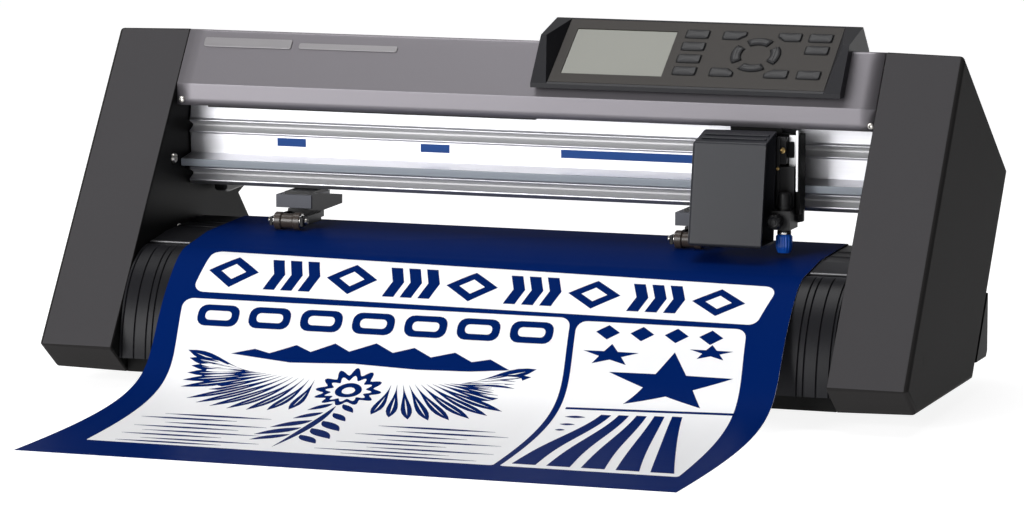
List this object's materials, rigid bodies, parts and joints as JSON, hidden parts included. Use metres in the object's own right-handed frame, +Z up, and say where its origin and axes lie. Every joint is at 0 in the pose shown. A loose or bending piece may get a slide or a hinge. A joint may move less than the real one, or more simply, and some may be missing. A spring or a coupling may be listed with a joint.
{
  "type": "vinyl cutter",
  "caption": "Desktop roll and sheet cutter: leaning side covers, a rail with a tool carriage, pinch rollers over a grit shaft, a tilted control panel and a loaded vinyl sheet.",
  "frame": {"origin": "middle of the base on the table: half way along X between the side covers, and half way along Y between the sheet's front edge and the covers' rear", "axes": "+X to the operator's right along the rail, +Y to the back, +Z up"},
  "size_m": [0.672, 0.5548, 0.2748],
  "materials": {
    "grey_metal": "satin warm grey paint on bent sheet",
    "dark_cover": "fine textured dark grey moulding",
    "black_plastic": "matt black moulding",
    "aluminium": "drawn and anodised, brushed along its length",
    "steel": "ground or plated steel",
    "black_steel": "black coated sheet steel",
    "panel_plastic": "fine textured brown grey fascia",
    "key_plastic": "soft touch dark keys",
    "display": "pale grey green display window",
    "rubber": "black rubber",
    "board": "green circuit board",
    "vinyl": "semi gloss dark blue self adhesive vinyl on a white liner",
    "blue_plastic": "blue holder with a black upper body",
    "brass": "machined brass",
    "mat": "grey cutting strip"
  },
  "bodies": {
    "machine": {"top_cover": "grey_metal", "left_side_cover": "dark_cover", "right_side_cover": "dark_cover", "front_apron": "black_plastic", "platen": "black_plastic", "panel_housing": "black_plastic", "connector_box": "black_plastic", "power_inlet": "black_plastic", "flex_cable": "black_plastic", "y_rail": "aluminium", "power_supply": "steel", "left_side_frame": "black_steel", "right_side_frame": "black_steel", "base_tray": "black_steel", "feed_motor": "black_steel", "carriage_motor": "black_steel", "panel_face": "panel_plastic", "lcd_module": "display", "foot_front_left": "rubber", "foot_front_right": "rubber", "foot_rear_left": "rubber", "foot_rear_right": "rubber", "main_board": "board", "media_sheet": "vinyl", "cutting_mat": "mat"},
    "grit_drum": {"grit_shaft": "steel", "feed_pulley": "black_plastic"},
    "feed_motor_pulley": {"feed_motor_pulley": "brass"},
    "carriage": {"carriage_frame": "steel", "carriage_cover": "dark_cover"},
    "guide_wheel": {"guide_wheel": "steel"},
    "tool": {"tool_arm": "black_plastic", "cutter_holder": "blue_plastic"},
    "clamp_knob": {"clamp_knob": "black_plastic"},
    "pinch_block_left": {"pinch_block_left": "black_plastic"},
    "pinch_block_right": {"pinch_block_right": "black_plastic"},
    "pinch_arm_left": {"pinch_arm_left": "steel"},
    "pinch_arm_right": {"pinch_arm_right": "steel"},
    "pinch_roller_left": {"pinch_roller_left": "rubber"},
    "pinch_roller_right": {"pinch_roller_right": "rubber"},
    "lift": {"lift_shaft": "steel", "set_lever": "black_plastic"},
    "drive_pulley": {"drive_pulley": "brass"},
    "idler_pulley": {"idler_pulley": "black_plastic"},
    "power_switch": {"power_switch": "key_plastic"},
    "key_menu_1": {"key_menu_1": "key_plastic"},
    "key_menu_2": {"key_menu_2": "key_plastic"},
    "key_menu_3": {"key_menu_3": "key_plastic"},
    "key_menu_4": {"key_menu_4": "key_plastic"},
    "key_upper_left": {"key_upper_left": "key_plastic"},
    "key_upper_right": {"key_upper_right": "key_plastic"},
    "key_side_top": {"key_side_top": "key_plastic"},
    "key_side_middle": {"key_side_middle": "key_plastic"},
    "key_lower_left": {"key_lower_left": "key_plastic"},
    "key_lower_right": {"key_lower_right": "key_plastic"},
    "key_side_bottom": {"key_side_bottom": "key_plastic"},
    "key_arrow_right": {"key_arrow_right": "key_plastic"},
    "key_arrow_up": {"key_arrow_up": "key_plastic"},
    "key_arrow_left": {"key_arrow_left": "key_plastic"},
    "key_arrow_down": {"key_arrow_down": "key_plastic"}
  },
  "joints": [
    {"name": "grit_spin", "type": "hinge", "parent": "machine", "child": "grit_drum", "pos_m": [-0.00235, 0.10264, 0.10305], "axis": [1, 0, 0], "continuous": true},
    {"name": "feed_motor_spin", "type": "hinge", "parent": "machine", "child": "feed_motor_pulley", "pos_m": [-0.291, 0.06064, 0.08], "axis": [1, 0, 0], "continuous": true},
    {"name": "carriage_travel", "type": "slide", "parent": "machine", "child": "carriage", "axis": [1, 0, 0], "range_m": [-0.4, 0.045]},
    {"name": "guide_wheel_spin", "type": "hinge", "parent": "carriage", "child": "guide_wheel", "pos_m": [0.185, 0.12264, 0.1848], "axis": [0, 0, 1], "continuous": true},
    {"name": "tool_lift", "type": "slide", "parent": "carriage", "child": "tool", "axis": [0, 0, 1], "range_m": [-0.0028, 0], "stiffness_N_per_m": 200, "springref_m": 0.002},
    {"name": "knob_turn", "type": "hinge", "parent": "tool", "child": "clamp_knob", "pos_m": [0.2085, 0.07624, 0.1375], "axis": [0, -1, 0], "range_deg": [0, 360]},
    {"name": "pinch_left_travel", "type": "slide", "parent": "machine", "child": "pinch_block_left", "axis": [1, 0, 0], "range_m": [-0.05, 0.15]},
    {"name": "pinch_right_travel", "type": "slide", "parent": "machine", "child": "pinch_block_right", "axis": [1, 0, 0], "range_m": [-0.11, 0.1]},
    {"name": "lift_turn", "type": "hinge", "parent": "machine", "child": "lift", "pos_m": [0.00715, 0.17364, 0.138], "axis": [-1, 0, 0], "range_deg": [0, 35]},
    {"name": "pinch_left_tilt", "type": "hinge", "parent": "pinch_block_left", "child": "pinch_arm_left", "pos_m": [-0.184, 0.13864, 0.121], "axis": [-1, 0, 0], "range_deg": [0, 7]},
    {"name": "pinch_left_roll", "type": "hinge", "parent": "pinch_arm_left", "child": "pinch_roller_left", "pos_m": [-0.184, 0.10264, 0.11775], "axis": [1, 0, 0], "continuous": true},
    {"name": "pinch_right_tilt", "type": "hinge", "parent": "pinch_block_right", "child": "pinch_arm_right", "pos_m": [0.1355, 0.13864, 0.121], "axis": [-1, 0, 0], "range_deg": [0, 7]},
    {"name": "pinch_right_roll", "type": "hinge", "parent": "pinch_arm_right", "child": "pinch_roller_right", "pos_m": [0.1355, 0.10264, 0.11775], "axis": [1, 0, 0], "continuous": true},
    {"name": "drive_pulley_spin", "type": "hinge", "parent": "machine", "child": "drive_pulley", "pos_m": [0.254, 0.17464, 0.184], "axis": [0, 1, 0], "continuous": true},
    {"name": "idler_pulley_spin", "type": "hinge", "parent": "machine", "child": "idler_pulley", "pos_m": [-0.254, 0.17464, 0.184], "axis": [0, 1, 0], "continuous": true},
    {"name": "power_rock", "type": "hinge", "parent": "machine", "child": "power_switch", "pos_m": [0.324, 0.21314, 0.04], "axis": [1, 0, 0], "range_deg": [0, 8]},
    {"name": "press_menu_1", "type": "slide", "parent": "machine", "child": "key_menu_1", "axis": [0, -0.5793, 0.8151], "range_m": [-0.0008, 0], "stiffness_N_per_m": 200, "springref_m": 0.0003},
    {"name": "press_menu_2", "type": "slide", "parent": "machine", "child": "key_menu_2", "axis": [0, -0.5793, 0.8151], "range_m": [-0.0008, 0], "stiffness_N_per_m": 200, "springref_m": 0.0003},
    {"name": "press_menu_3", "type": "slide", "parent": "machine", "child": "key_menu_3", "axis": [0, -0.5793, 0.8151], "range_m": [-0.0008, 0], "stiffness_N_per_m": 200, "springref_m": 0.0003},
    {"name": "press_menu_4", "type": "slide", "parent": "machine", "child": "key_menu_4", "axis": [0, -0.5793, 0.8151], "range_m": [-0.0008, 0], "stiffness_N_per_m": 200, "springref_m": 0.0003},
    {"name": "press_upper_left", "type": "slide", "parent": "machine", "child": "key_upper_left", "axis": [0, -0.5793, 0.8151], "range_m": [-0.0008, 0], "stiffness_N_per_m": 200, "springref_m": 0.0003},
    {"name": "press_upper_right", "type": "slide", "parent": "machine", "child": "key_upper_right", "axis": [0, -0.5793, 0.8151], "range_m": [-0.0008, 0], "stiffness_N_per_m": 200, "springref_m": 0.0003},
    {"name": "press_side_top", "type": "slide", "parent": "machine", "child": "key_side_top", "axis": [0, -0.5793, 0.8151], "range_m": [-0.0008, 0], "stiffness_N_per_m": 200, "springref_m": 0.0003},
    {"name": "press_side_middle", "type": "slide", "parent": "machine", "child": "key_side_middle", "axis": [0, -0.5793, 0.8151], "range_m": [-0.0008, 0], "stiffness_N_per_m": 200, "springref_m": 0.0003},
    {"name": "press_lower_left", "type": "slide", "parent": "machine", "child": "key_lower_left", "axis": [0, -0.5793, 0.8151], "range_m": [-0.0008, 0], "stiffness_N_per_m": 200, "springref_m": 0.0003},
    {"name": "press_lower_right", "type": "slide", "parent": "machine", "child": "key_lower_right", "axis": [0, -0.5793, 0.8151], "range_m": [-0.0008, 0], "stiffness_N_per_m": 200, "springref_m": 0.0003},
    {"name": "press_side_bottom", "type": "slide", "parent": "machine", "child": "key_side_bottom", "axis": [0, -0.5793, 0.8151], "range_m": [-0.0008, 0], "stiffness_N_per_m": 200, "springref_m": 0.0003},
    {"name": "press_arrow_right", "type": "slide", "parent": "machine", "child": "key_arrow_right", "axis": [0, -0.5793, 0.8151], "range_m": [-0.0008, 0], "stiffness_N_per_m": 200, "springref_m": 0.0003},
    {"name": "press_arrow_up", "type": "slide", "parent": "machine", "child": "key_arrow_up", "axis": [0, -0.5793, 0.8151], "range_m": [-0.0008, 0], "stiffness_N_per_m": 200, "springref_m": 0.0003},
    {"name": "press_arrow_left", "type": "slide", "parent": "machine", "child": "key_arrow_left", "axis": [0, -0.5793, 0.8151], "range_m": [-0.0008, 0], "stiffness_N_per_m": 200, "springref_m": 0.0003},
    {"name": "press_arrow_down", "type": "slide", "parent": "machine", "child": "key_arrow_down", "axis": [0, -0.5793, 0.8151], "range_m": [-0.0008, 0], "stiffness_N_per_m": 200, "springref_m": 0.0003}
  ],
  "couplings": [
    {"joint": "feed_motor_spin", "follows": "grit_spin", "ratio": 2.5},
    {"joint": "guide_wheel_spin", "follows": "carriage_travel", "rad_per_m": 90.9},
    {"joint": "drive_pulley_spin", "follows": "carriage_travel", "rad_per_m": 111.1},
    {"joint": "idler_pulley_spin", "follows": "carriage_travel", "rad_per_m": 111.1},
    {"joint": "pinch_left_tilt", "follows": "lift_turn", "ratio": 0.2},
    {"joint": "pinch_right_tilt", "follows": "lift_turn", "ratio": 0.2}
  ]
}
